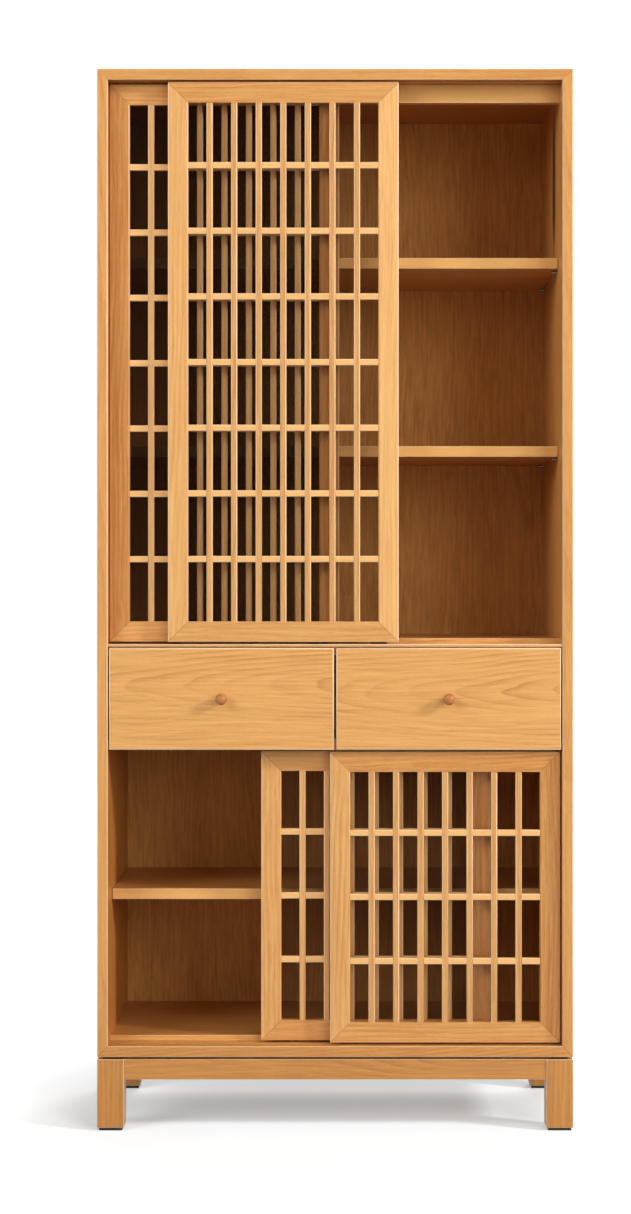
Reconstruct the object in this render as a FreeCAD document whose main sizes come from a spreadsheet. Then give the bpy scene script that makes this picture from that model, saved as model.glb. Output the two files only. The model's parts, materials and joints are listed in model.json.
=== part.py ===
import FreeCAD, Part
import os
import re
import Sketcher

# Mizuya kitchen cabinet: a mitred case on a low leg frame. Lattice doors slide in pairs above and
# below a row of two drawers. X runs to the right, Y to the back, Z up. The origin lies on the floor
# under the middle of the whole object. A place called a depth is measured back from the case's
# front edges.

# Sizes in millimetres, and counts
SIZES = {
    # Case
    "case_width": 800,
    "case_depth": 400,
    "panel_thickness": 18,
    "lower_opening_height": 498,
    "drawer_opening_height": 141.5,
    "upper_opening_height": 948.5,
    "housing_depth": 6,
    "partition_housing_depth": 4,
    "divider_nose_thickness": 4,
    "divider_nose_setback": 1.5,
    # Back panels
    "back_thickness": 9,
    "back_inset": 6,
    "back_rebate_width": 9,
    # Boards that the doors pass in front of
    "floor_board_thickness": 9,
    "head_rail_height": 30,
    "head_rail_thickness": 18,
    "gap_behind_doors": 2.5,
    # Shelves and the pins they lie on
    "shelf_thickness": 18,
    "shelf_setback": 75,
    "shelf_end_gap": 1,
    "shelf_back_gap": 2,
    "high_shelf_rise": 650,
    "low_shelf_rise": 328,
    "lower_shelf_rise": 246.5,
    "pin_radius": 2.5,
    "pin_hole_depth": 9,
    "pin_reach": 9,
    "pin_inset": 30,
    "pin_play": 0.05,
    "shelf_seat_gap": 0.1,
    # Doors
    "door_overlap": 14,
    "door_thickness": 18,
    "door_gap": 2.5,
    "upper_door_setback": 2.5,
    "lower_door_setback": 13,
    "door_reveal": 4,
    "frame_width": 34,
    "door_stop_gap": 1,
    # How far along its travel, from the left, each door stands
    "upper_front_door_share": 0.267,
    "upper_rear_door_share": 0,
    "lower_front_door_share": 0.996,
    "lower_rear_door_share": 0.684,
    # Door lattice
    "upright_count": 7,
    "upper_crossbar_count": 7,
    "lower_crossbar_count": 3,
    "bar_width": 10.5,
    "bar_thickness": 9,
    "lattice_setback": 0.5,
    "bar_tenon_length": 6,
    "bar_tenon_width": 6,
    "bar_tenon_thickness": 5,
    # Door panes
    "glass_thickness": 3,
    "glass_rebate_width": 6,
    "glass_edge_gap": 1,
    # Door tracks
    "tongue_thickness": 6,
    "tongue_engagement": 6,
    "tongue_to_door_back": 0.5,
    "groove_side_gap": 0.5,
    "head_groove_depth": 10,
    "track_groove_depth": 3,
    "glide_length": 28,
    "glide_inset": 20,
    "glide_running_gap": 0.2,
    "glide_stem_radius": 2.5,
    "glide_stem_height": 10,
    "glide_stem_play": 0.1,
    # Drawer fronts
    "drawer_setback": 1,
    "lip_thickness": 6,
    "lip_gap": 1,
    "lip_end_gap": 2,
    "lip_rise": 11.5,
    "front_block_thickness": 14,
    # Drawer boxes and runners
    "drawer_side_gap": 2,
    "drawer_top_gap": 6.5,
    "drawer_floor_gap": 3,
    "drawer_back_gap": 14,
    "box_side_thickness": 12,
    "box_back_thickness": 12,
    "box_back_inset": 2,
    "drawer_bottom_thickness": 5,
    "drawer_bottom_rise": 8,
    "drawer_bottom_bite": 5,
    "runner_height": 14,
    "runner_rise": 59,
    "runner_bite": 6,
    "runner_play": 0.3,
    "runner_front_gap": 4,
    "runner_back_gap": 10,
    # Knobs
    "knob_length": 22,
    "knob_head_radius": 9.75,
    "knob_head_thickness": 14,
    "knob_foot_radius": 6,
    "knob_neck_radius": 4.6,
    "knob_tenon_radius": 4,
    "knob_tenon_length": 13,
    "knob_tenon_play": 0.05,
    # Leg frame
    "foot_pad_height": 5,
    "foot_pad_inset": 2.75,
    "leg_width": 45,
    "leg_height": 115,
    "rear_leg_inset": 20,
    "base_rail_height": 34,
    "base_rail_thickness": 22,
    "base_rail_setback": 2,
    "base_tenon_length": 15,
    "base_tenon_shoulder": 5,
    # Spacers and screws between the leg frame and the case
    "spacer_height": 4,
    "leg_spacer_inset": 9,
    "rail_spacer_length": 60,
    "rail_spacer_inset": 3,
    "screw_place": 250,
    "screw_radius": 2.25,
    "screw_head_radius": 4.5,
    "screw_head_height": 3,
    "screw_bite": 10,
    "screw_play": 0.1,
    "counterbore_radius": 5.5,
    "counterbore_depth": 10,
}

# Sizes and places that follow from the ones above
DERIVED = {
    "inner_width": "case_width - 2 * panel_thickness",
    "inner_left": "-inner_width / 2",
    "knob_reach": "knob_length - drawer_setback",
    "front_y": "(knob_reach - case_depth) / 2",
    # Heights, from the floor up
    "base_top": "foot_pad_height + leg_height",
    "case_bottom": "base_top + spacer_height",
    "lower_track": "case_bottom + panel_thickness",
    "lower_head": "lower_track + lower_opening_height",
    "drawer_floor": "lower_head + panel_thickness",
    "drawer_head": "drawer_floor + drawer_opening_height",
    "upper_track": "drawer_head + panel_thickness",
    "upper_head": "upper_track + upper_opening_height",
    "case_height": "upper_head + panel_thickness - case_bottom",
    "back_joint": "drawer_head + panel_thickness / 2",
    "upper_floor": "upper_track + floor_board_thickness",
    "lower_floor": "lower_track + floor_board_thickness",
    # Depths
    "back_rebate_depth": "back_thickness + back_inset",
    "back_face": "case_depth - back_rebate_depth",
    "divider_front": "drawer_setback + lip_thickness + lip_gap",
    "divider_depth": "back_face - divider_front",
    "rear_door_offset": "door_thickness + door_gap",
    "stop_offset": "rear_door_offset + door_thickness + gap_behind_doors",
    "shelf_depth": "back_face - shelf_setback - shelf_back_gap",
    "rear_leg_depth": "case_depth - rear_leg_inset - leg_width",
    "back_rail_depth": "case_depth - rear_leg_inset - base_rail_setback - base_rail_thickness",
    # Doors, which overlap in the middle when both are closed
    "door_span": "inner_width - 2 * door_stop_gap",
    "door_width": "(door_span + door_overlap) / 2",
    "door_travel": "door_span - door_width",
    "upper_door_height": "upper_opening_height - 2 * door_reveal",
    "lower_door_height": "lower_opening_height - 2 * door_reveal",
    "pane_width": "door_width - 2 * frame_width",
    "upright_gap": "(pane_width - upright_count * bar_width) / (upright_count + 1)",
    "glass_plane": "lattice_setback + bar_thickness",
    "lap_depth": "bar_thickness / 2",
    "tongue_depth": "door_thickness - tongue_to_door_back - tongue_thickness",
    "tongue_height": "door_reveal + tongue_engagement",
    "groove_width": "tongue_thickness + 2 * groove_side_gap",
    "groove_offset": "tongue_depth - groove_side_gap",
    "glide_height": "door_reveal + track_groove_depth - glide_running_gap",
    # Drawers, drawn for the left one
    "lip_width": "inner_width / 2 - 2 * lip_end_gap",
    "lip_height": "drawer_head + lip_rise - lower_head",
    "lip_left": "inner_left + lip_end_gap",
    "box_left": "inner_left + drawer_side_gap",
    "box_right": "-panel_thickness / 2 - drawer_side_gap",
    "box_inside_left": "box_left + box_side_thickness",
    "box_inside_width": "box_right - box_left - 2 * box_side_thickness",
    "box_bottom": "drawer_floor + drawer_floor_gap",
    "box_height": "drawer_opening_height - drawer_floor_gap - drawer_top_gap",
    "box_front": "drawer_setback + lip_thickness",
    "box_length": "back_face - drawer_back_gap - box_front",
    "block_back": "box_front + front_block_thickness",
    "box_back_front": "box_front + box_length - box_back_inset - box_back_thickness",
    "bottom_top": "drawer_bottom_rise + drawer_bottom_thickness",
    "runner_front": "block_back + runner_front_gap",
    "partition_depth": "back_face - runner_front",
    "runner_width": "drawer_side_gap + runner_bite",
    "runner_groove_depth": "runner_bite + runner_play",
    "knob_head_half": "knob_head_thickness / 2",
    "knob_head_place": "knob_length - knob_head_half",
    # Leg frame
    "long_rail_length": "case_width - 2 * leg_width",
    "side_rail_length": "rear_leg_depth - leg_width",
    "base_rail_bottom": "base_top - base_rail_height",
    "rail_middle": "base_rail_thickness / 2",
    "screw_seat": "base_rail_bottom + counterbore_depth",
    "screw_length": "case_bottom + screw_bite - screw_seat",
}

doc = FreeCAD.newDocument("mizuya_cabinet")
sizes = doc.addObject("Spreadsheet::Sheet", "sizes")
for row, (alias, amount) in enumerate(SIZES.items(), start=1):
    sizes.set(f"A{row}", alias.replace("_", " "))
    sizes.set(f"B{row}", str(amount))
    sizes.setAlias(f"B{row}", alias)
doc.recompute()

sub_parts = []


def formula(text):
    """Write a formula out until it names only cells of the sheet."""
    def cell(match):
        word = match.group(0)
        if word in DERIVED:
            return f"({formula(DERIVED[word])})"
        return f"sizes.{word}"
    return re.sub(r"[a-z]\w*", cell, text)


def value(text):
    """The number that a formula gives now."""
    return float(sizes.evalExpression(formula(text)))


def bind(item, prop, text):
    item.setExpression(prop, formula(text))


def place(item, corner):
    """Bind where an object's own origin lies."""
    for axis, amount in zip("xyz", corner):
        bind(item, f"Placement.Base.{axis}", amount)


def sub_part(item, label):
    """Count an object as a finished piece of the cabinet, under the name of its file."""
    item.Label = label
    sub_parts.append(item)
    return item


# Blocks, rods and ways to join them


def block(name, corner, extent):
    """A rectangular block, from its low corner and its extent along X, Y and Z."""
    item = doc.addObject("Part::Box", name)
    for side, amount in zip(("Length", "Width", "Height"), extent):
        bind(item, side, amount)
    place(item, corner)
    return item


def rod(name, start, radius, length, direction=FreeCAD.Vector(0, 0, 1)):
    """A round rod from the centre of one end."""
    item = doc.addObject("Part::Cylinder", name)
    item.Placement.Rotation = FreeCAD.Rotation(FreeCAD.Vector(0, 0, 1), direction)
    bind(item, "Radius", radius)
    bind(item, "Height", length)
    place(item, start)
    return item


def group(name, members):
    """Several separate solids kept as one object."""
    item = doc.addObject("Part::Compound", name)
    item.Links = members
    return item


def fuse(name, members):
    item = doc.addObject("Part::MultiFuse", name)
    item.Shapes = members
    return item


def cut(name, base, tool):
    item = doc.addObject("Part::Cut", name)
    item.Base = base
    item.Tool = tool
    return item


def mirror(name, source):
    """The same piece on the other side of the cabinet's middle plane."""
    item = doc.addObject("Part::Mirroring", name)
    item.Source = source
    item.Normal = FreeCAD.Vector(1, 0, 0)
    return item


# Sketched bodies


def body_at(name, corner, turn=0):
    """A sketched body, turned about Y and placed."""
    body = doc.addObject("PartDesign::Body", name)
    body.Placement.Rotation = FreeCAD.Rotation(FreeCAD.Vector(0, 1, 0), turn)
    place(body, corner)
    return body


def hold(sketch, piece, point, direction, amount):
    """Hold a point of a sketch at a distance from the sketch's origin."""
    if amount == "0":
        axis = {"X": -2, "Y": -1}[direction]
        sketch.addConstraint(Sketcher.Constraint("PointOnObject", piece, point, axis))
        return
    distance = Sketcher.Constraint(f"Distance{direction}", -1, 1, piece, point, value(amount))
    index = sketch.addConstraint(distance)
    bind(sketch, f"Constraints[{index}]", amount)


def draw_outline(sketch, corners):
    """A closed outline of straight lines."""
    points = [FreeCAD.Vector(value(across), value(up), 0) for across, up in corners]
    lines = [sketch.addGeometry(Part.LineSegment(start, end))
             for start, end in zip(points, points[1:] + points[:1])]
    for line, following in zip(lines, lines[1:] + lines[:1]):
        sketch.addConstraint(Sketcher.Constraint("Coincident", line, 2, following, 1))
    for line, (across, up) in zip(lines, corners):
        hold(sketch, line, 1, "X", across)
        hold(sketch, line, 1, "Y", up)


def draw_circle(sketch, across, up, radius):
    centre = FreeCAD.Vector(value(across), value(up), 0)
    circle = sketch.addGeometry(Part.Circle(centre, FreeCAD.Vector(0, 0, 1), value(radius)))
    hold(sketch, circle, 3, "X", across)
    hold(sketch, circle, 3, "Y", up)
    index = sketch.addConstraint(Sketcher.Constraint("Radius", circle, value(radius)))
    bind(sketch, f"Constraints[{index}]", radius)


def sketch_on(body, plane, lift, outlines=(), circles=()):
    """A sketch on one of the body's own planes, moved along that plane's normal."""
    sketch = body.newObject("Sketcher::SketchObject", f"{body.Name}_outline")
    support = next(part for part in body.Origin.OriginFeatures if part.Role == plane)
    sketch.AttachmentSupport = [(support, "")]
    sketch.MapMode = "FlatFace"
    bind(sketch, "AttachmentOffset.Base.z", lift)
    for corners in outlines:
        draw_outline(sketch, corners)
    for circle in circles:
        draw_circle(sketch, *circle)
    return sketch


def pad(body, sketch, length, along_normal=False):
    feature = body.newObject("PartDesign::Pad", f"{body.Name}_pad")
    feature.Profile = sketch
    feature.Reversed = not along_normal
    bind(feature, "Length", length)


def pocket(body, sketch, depth, along_normal=False):
    feature = body.newObject("PartDesign::Pocket", f"{body.Name}_pocket")
    feature.Profile = sketch
    feature.Reversed = along_normal
    bind(feature, "Length", depth)


def rectangle(across, up, width, height):
    """The corners of a rectangle, from its low corner."""
    right = f"{across} + {width}"
    top = f"{up} + {height}"
    return [(across, up), (right, up), (right, top), (across, top)]


# Case


def mitred_board(name, corner, corners):
    """A case board: its mitred section, drawn from the front, runs from the front to the back."""
    board = body_at(name, corner)
    pad(board, sketch_on(board, "XZ_Plane", "0", [corners]), "case_depth")
    return board


def door_grooves(board, lift, left, setback, depth, along_normal):
    """Two grooves in a board, one behind the other, that lead a pair of doors.

    The setback is how far the front door stands behind the board's own front edge.
    """
    grooves = [rectangle(left, f"{setback} + {offset}", "inner_width", "groove_width")
               for offset in ("groove_offset", "rear_door_offset + groove_offset")]
    pocket(board, sketch_on(board, "XY_Plane", lift, grooves), depth, along_normal)


def top_panel():
    outline = [("0", "panel_thickness"), ("panel_thickness", "0"),
               ("case_width - panel_thickness", "0"), ("case_width", "panel_thickness")]
    board = mitred_board("top_panel", ("-case_width / 2", "front_y", "upper_head"), outline)
    rebate = rectangle("back_face", "0", "back_rebate_depth", "back_rebate_width")
    pocket(board, sketch_on(board, "YZ_Plane", "0", [rebate]), "case_width", along_normal=True)
    door_grooves(board, "0", "panel_thickness", "upper_door_setback", "head_groove_depth",
                 along_normal=True)
    sub_part(board, "top_panel")


def bottom_panel(screw_tips):
    outline = [("0", "0"), ("case_width", "0"),
               ("case_width - panel_thickness", "panel_thickness"),
               ("panel_thickness", "panel_thickness")]
    board = mitred_board("bottom_board", ("-case_width / 2", "front_y", "case_bottom"), outline)
    rebate = rectangle("back_face", "panel_thickness - back_rebate_width", "back_rebate_depth",
                       "back_rebate_width")
    pocket(board, sketch_on(board, "YZ_Plane", "0", [rebate]), "case_width", along_normal=True)
    door_grooves(board, "panel_thickness", "panel_thickness", "lower_door_setback",
                 "track_groove_depth", along_normal=False)
    sub_part(cut("bottom_panel", board, screw_tips), "bottom_panel")


def shelf_places():
    """Each shelf's name and the height of its top."""
    return [("shelf_upper_high", "upper_floor + high_shelf_rise"),
            ("shelf_upper_low", "upper_floor + low_shelf_rise"),
            ("shelf_lower", "lower_floor + lower_shelf_rise")]


def pin_places():
    """The depth and the height of each pin's axis, the same on both sides."""
    places = []
    for name, top in shelf_places():
        height = f"{top} - shelf_thickness - shelf_seat_gap - pin_radius"
        places.append(("shelf_setback + pin_inset", height))
        places.append(("shelf_setback + shelf_depth - pin_inset", height))
    return places


def side_panels():
    outline = [("0", "0"), ("panel_thickness", "panel_thickness"),
               ("panel_thickness", "case_height - panel_thickness"), ("0", "case_height")]
    board = mitred_board("side_panel_left", ("-case_width / 2", "front_y", "case_bottom"), outline)
    rebate = rectangle("panel_thickness - back_rebate_width", "back_face", "back_rebate_width",
                       "back_rebate_depth")
    pocket(board, sketch_on(board, "XY_Plane", "0", [rebate]), "case_height", along_normal=True)
    housings = [rectangle("divider_front", f"{underside} - case_bottom", "divider_depth",
                          "panel_thickness") for underside in ("lower_head", "drawer_head")]
    pocket(board, sketch_on(board, "YZ_Plane", "panel_thickness", housings), "housing_depth")
    holes = [(depth, f"{height} - case_bottom", "pin_radius + pin_play")
             for depth, height in pin_places()]
    pocket(board, sketch_on(board, "YZ_Plane", "panel_thickness", circles=holes), "pin_hole_depth")
    sub_part(board, "side_panel_left")
    sub_part(mirror("side_panel_right", board), "side_panel_right")


def divider(name, underside):
    """A full-width board housed in both sides, with its front edge behind the drawer lips."""
    board = body_at(name, ("inner_left - housing_depth", "front_y + divider_front", underside))
    outline = rectangle("0", "0", "inner_width + 2 * housing_depth", "panel_thickness")
    pad(board, sketch_on(board, "XZ_Plane", "0", [outline]), "divider_depth")
    return board


def partition_housing(board, lift, along_normal):
    """The shallow groove that takes an edge of the upright partition between the drawers."""
    middle = rectangle("housing_depth + inner_width / 2 - panel_thickness / 2",
                       "runner_front - divider_front", "panel_thickness", "partition_depth")
    pocket(board, sketch_on(board, "XY_Plane", lift, [middle]), "partition_housing_depth",
           along_normal)


def dividers():
    """The upper divider's top runs forward as a thin nose over the drawer fronts."""
    above = divider("divider_above_drawers", "drawer_head")
    nose = rectangle("housing_depth", "panel_thickness - divider_nose_thickness", "inner_width",
                     "divider_nose_thickness")
    pad(above, sketch_on(above, "XZ_Plane", "0", [nose]), "divider_front - divider_nose_setback",
        along_normal=True)
    door_grooves(above, "panel_thickness", "housing_depth", "upper_door_setback - divider_front",
                 "track_groove_depth", along_normal=False)
    partition_housing(above, "0", along_normal=True)
    sub_part(above, "divider_above_drawers")
    below = divider("divider_below_drawers", "lower_head")
    door_grooves(below, "0", "housing_depth", "lower_door_setback - divider_front",
                 "head_groove_depth", along_normal=True)
    partition_housing(below, "panel_thickness", along_normal=False)
    sub_part(below, "divider_below_drawers")
    partition = block("drawer_partition",
                      ("-panel_thickness / 2", "front_y + runner_front",
                       "drawer_floor - partition_housing_depth"),
                      ("panel_thickness", "partition_depth",
                       "drawer_opening_height + 2 * partition_housing_depth"))
    sub_part(partition, "drawer_partition")


def back_panels():
    """Two panels let into the rebate, which meet on the edge of the divider above the drawers."""
    left = "inner_left - back_rebate_width"
    width = "inner_width + 2 * back_rebate_width"
    upper = block("back_panel_upper", (left, "front_y + back_face", "back_joint"),
                  (width, "back_thickness", "upper_head + back_rebate_width - back_joint"))
    sub_part(upper, "back_panel_upper")
    lower = block("back_panel_lower",
                  (left, "front_y + back_face", "lower_track - back_rebate_width"),
                  (width, "back_thickness", "back_joint - lower_track + back_rebate_width"))
    sub_part(lower, "back_panel_lower")


def boards_behind_doors():
    """The head rail under the top panel, and the floor boards, which start behind both doors."""
    rail = block("head_rail",
                 ("inner_left", "front_y + upper_door_setback + stop_offset",
                  "upper_head - head_rail_height"),
                 ("inner_width", "head_rail_thickness", "head_rail_height"))
    sub_part(rail, "head_rail")
    boards = [block("floor_board", ("inner_left", f"front_y + {setback} + stop_offset", level),
                    ("inner_width", f"back_face - {setback} - stop_offset",
                     "floor_board_thickness"))
              for level, setback in (("upper_track", "upper_door_setback"),
                                     ("lower_track", "lower_door_setback"))]
    sub_part(group("floor_boards", boards), "floor_boards")


def shelves():
    for name, top in shelf_places():
        shelf = block(name,
                      ("inner_left + shelf_end_gap", "front_y + shelf_setback",
                       f"{top} - shelf_thickness"),
                      ("inner_width - 2 * shelf_end_gap", "shelf_depth", "shelf_thickness"))
        sub_part(shelf, name)


def shelf_pins():
    inward = FreeCAD.Vector(1, 0, 0)
    length = "pin_hole_depth + pin_reach"
    pins = []
    for depth, height in pin_places():
        for start in ("inner_left - pin_hole_depth", "-inner_left - pin_reach"):
            pins.append(rod("pin", (start, f"front_y + {depth}", height), "pin_radius", length,
                            inward))
    sub_part(group("shelf_pins", pins), "shelf_pins")


def drawer_runners():
    """A strip on each wall of both drawer spaces, which fills the groove in the drawer's side."""
    runners = [block("runner", (left, "front_y + runner_front", "box_bottom + runner_rise"),
                     ("runner_width", "back_face - runner_back_gap - runner_front",
                      "runner_height"))
               for left in ("inner_left", "-panel_thickness / 2 - runner_width",
                            "panel_thickness / 2", "-inner_left - runner_width")]
    sub_part(group("drawer_runners", runners), "drawer_runners")


# Leg frame


def tenoned_rail(name, corner, extent, along):
    """A rail of the leg frame, with a shouldered tenon at each end."""
    shoulder = "base_tenon_shoulder"
    inner_corner = [f"{amount} + {shoulder}" for amount in corner]
    inner_extent = [f"{amount} - 2 * {shoulder}" for amount in extent]
    inner_corner[along] = f"{corner[along]} - base_tenon_length"
    inner_extent[along] = f"{extent[along]} + 2 * base_tenon_length"
    return fuse(name, [block("rail", corner, extent), block("tenon", inner_corner, inner_extent)])


def screw_places():
    """The X and the depth of each screw between the leg frame and the case."""
    return [(across, f"{rail} + rail_middle") for across in ("-screw_place", "screw_place")
            for rail in ("base_rail_setback", "back_rail_depth")]


def screws(name, play):
    """The screws, or with some play the holes that they need."""
    items = []
    for across, depth in screw_places():
        foot = (across, f"front_y + {depth}", "screw_seat - screw_head_height")
        head = rod("screw_head", foot, f"screw_head_radius + {play}", "screw_head_height")
        shank = rod("screw_shank", (across, f"front_y + {depth}", "screw_seat"),
                    f"screw_radius + {play}", "screw_length")
        items.append(fuse("screw", [head, shank]))
    return group(name, items)


def counterbores():
    return [rod("counterbore", (across, f"front_y + {depth}", "base_rail_bottom"),
                "counterbore_radius", "counterbore_depth") for across, depth in screw_places()]


def leg_frame():
    legs = [(left, depth) for left in ("-case_width / 2", "case_width / 2 - leg_width")
            for depth in ("0", "rear_leg_depth")]
    holes = screws("screw_holes", "screw_play")
    long_rails = [tenoned_rail("long_rail", ("-long_rail_length / 2", f"front_y + {depth}",
                                             "base_rail_bottom"),
                               ("long_rail_length", "base_rail_thickness", "base_rail_height"), 0)
                  for depth in ("base_rail_setback", "back_rail_depth")]
    side_rails = [tenoned_rail("side_rail", (left, "front_y + leg_width", "base_rail_bottom"),
                               ("base_rail_thickness", "side_rail_length", "base_rail_height"), 1)
                  for left in ("base_rail_setback - case_width / 2",
                               "case_width / 2 - base_rail_setback - base_rail_thickness")]
    posts = [block("leg", (left, f"front_y + {depth}", "foot_pad_height"),
                   ("leg_width", "leg_width", "leg_height")) for left, depth in legs]
    sub_part(cut("legs", group("posts", posts), group("mortises", long_rails + side_rails)),
             "legs")
    sub_part(cut("base_rails_long", group("long_rails", long_rails),
                 group("rail_holes", [holes] + counterbores())), "base_rails_long")
    sub_part(group("base_rails_side", side_rails), "base_rails_side")
    pads = [block("foot_pad", (f"{left} + foot_pad_inset", f"front_y + {depth} + foot_pad_inset",
                               "0"),
                  ("leg_width - 2 * foot_pad_inset", "leg_width - 2 * foot_pad_inset",
                   "foot_pad_height")) for left, depth in legs]
    sub_part(group("foot_pads", pads), "foot_pads")
    spacers(legs, holes)
    sub_part(screws("base_screws", "0"), "base_screws")
    return holes


def spacers(legs, holes):
    """Thin pieces that hold the case off its leg frame, on each leg and round each screw."""
    on_legs = [block("leg_spacer", (f"{left} + leg_spacer_inset",
                                    f"front_y + {depth} + leg_spacer_inset", "base_top"),
                     ("leg_width - 2 * leg_spacer_inset", "leg_width - 2 * leg_spacer_inset",
                      "spacer_height")) for left, depth in legs]
    on_rails = [block("rail_spacer", (f"{across} - rail_spacer_length / 2",
                                      f"front_y + {depth} - rail_middle + rail_spacer_inset",
                                      "base_top"),
                      ("rail_spacer_length", "base_rail_thickness - 2 * rail_spacer_inset",
                       "spacer_height")) for across, depth in screw_places()]
    sub_part(cut("base_spacers", group("spacer_blanks", on_legs + on_rails), holes),
             "base_spacers")


# Doors


def frame_member(name, length, corner, turn, tongue=False):
    """A mitred door frame member, rebated behind for the pane.

    Its long outer edge starts along X, and the turn about Y lays it on its side of the door.
    """
    member = body_at(name, corner, turn)
    for width, thickness in (("frame_width", "glass_plane"),
                             ("(frame_width - glass_rebate_width)", "door_thickness")):
        outline = [("0", "0"), (length, "0"), (f"{length} - {width}", width), (width, width)]
        pad(member, sketch_on(member, "XZ_Plane", "0", [outline]), thickness)
    if tongue:
        edge = rectangle("0", "tongue_depth", length, "tongue_thickness")
        pad(member, sketch_on(member, "XY_Plane", "0", [edge]), "tongue_height")
    return member


def lattice_bars(name, count, corner, step, along, length):
    """Evenly spaced bars that start at a corner of the pane, each with a stub tenon at both ends."""
    side = 2 - along
    extent = {along: length, 1: "bar_thickness", side: "bar_width"}
    tenon_extent = {along: f"{length} + 2 * bar_tenon_length", 1: "bar_tenon_thickness",
                    side: "bar_tenon_width"}
    tenon_inset = {along: "-bar_tenon_length", 1: "(bar_thickness - bar_tenon_thickness) / 2",
                   side: "(bar_width - bar_tenon_width) / 2"}
    bars = []
    tenons = []
    for number in range(count):
        start = list(corner)
        start[side] = f"{corner[side]} + {number + 1} * {step} + {number} * bar_width"
        bars.append(block("bar", start, [extent[axis] for axis in range(3)]))
        tenon_start = [f"{start[axis]} + {tenon_inset[axis]}" for axis in range(3)]
        tenons.append(block("bar_tenon", tenon_start, [tenon_extent[axis] for axis in range(3)]))
    return fuse(name, [group(f"{name}_bars", bars), group(f"{name}_tenons", tenons)])


def lap_blocks(name, count, corner, step, along, length):
    """The front or the back half of each bar, which is cut out of the bars that cross it."""
    side = 2 - along
    extent = {along: length, 1: "lap_depth", side: "bar_width"}
    laps = []
    for number in range(count):
        start = list(corner)
        start[side] = f"{corner[side]} + {number + 1} * {step} + {number} * bar_width"
        laps.append(block("lap", start, [extent[axis] for axis in range(3)]))
    return group(name, laps)


def door(name, left, depth, track, height, crossbar_count_name):
    """A sliding door: a mitred frame, a flush half-lapped lattice and a pane held by beads.

    Its top tongue runs in the groove overhead, and two glides run in the groove under it.
    """
    face = f"front_y + {depth}"
    bottom = f"{track} + door_reveal"
    right = f"{left} + door_width"
    top = f"{bottom} + {height}"
    pane_height = f"({height} - 2 * frame_width)"
    clear_height = f"({pane_height} - {crossbar_count_name} * bar_width)"
    crossbar_gap = f"({clear_height} / ({crossbar_count_name} + 1))"
    upright_count = int(SIZES["upright_count"])
    crossbar_count = int(SIZES[crossbar_count_name])

    # Lattice
    pane = [f"{left} + frame_width", f"{face} + lattice_setback", f"{bottom} + frame_width"]
    behind = [pane[0], f"{pane[1]} + lap_depth", pane[2]]
    upright_rows = ("upright_gap", 2, pane_height)
    crossbar_rows = (crossbar_gap, 0, "pane_width")
    uprights = cut(f"{name}_uprights",
                   lattice_bars(f"{name}_upright_stock", upright_count, pane, *upright_rows),
                   lap_blocks(f"{name}_upright_laps", crossbar_count, behind, *crossbar_rows))
    crossbars = cut(f"{name}_crossbars",
                    lattice_bars(f"{name}_crossbar_stock", crossbar_count, pane, *crossbar_rows),
                    lap_blocks(f"{name}_crossbar_laps", upright_count, pane, *upright_rows))
    sub_part(uprights, f"{name}_uprights")
    sub_part(crossbars, f"{name}_crossbars")

    # Frame
    stiles = [frame_member(f"{name}_left_stile", height, (left, face, top), 90),
              frame_member(f"{name}_right_stile", height, (right, face, bottom), -90)]
    rails = [frame_member(f"{name}_top_rail", "door_width", (right, face, top), 180, tongue=True),
             frame_member(f"{name}_bottom_rail", "door_width", (left, face, bottom), 0)]
    glides, stem_holes = door_glides(name, left, face, bottom)
    sub_part(cut(f"{name}_stiles", group(f"{name}_stile_pair", stiles), crossbars),
             f"{name}_stiles")
    sub_part(cut(f"{name}_rails", group(f"{name}_rail_pair", rails),
                 group(f"{name}_rail_mortises", [uprights] + stem_holes)), f"{name}_rails")
    sub_part(group(f"{name}_glides", glides), f"{name}_glides")

    # Pane and beads
    door_pane(name, left, face, bottom, pane_height)


def door_glides(name, left, face, bottom):
    """Two glides under the bottom rail, each with a stem let into it, and the holes for the stems."""
    glides = []
    stem_holes = []
    for start in (f"{left} + glide_inset", f"{left} + door_width - glide_inset - glide_length"):
        fin = block("glide_fin", (start, f"{face} + tongue_depth", f"{bottom} - glide_height"),
                    ("glide_length", "tongue_thickness", "glide_height"))
        axis = (f"{start} + glide_length / 2", f"{face} + tongue_depth + tongue_thickness / 2",
                bottom)
        stem = rod("glide_stem", axis, "glide_stem_radius", "glide_stem_height")
        glides.append(fuse("glide", [fin, stem]))
        stem_holes.append(rod("stem_hole", axis, "glide_stem_radius + glide_stem_play",
                              "glide_stem_height + glide_stem_play"))
    return glides, stem_holes


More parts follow.
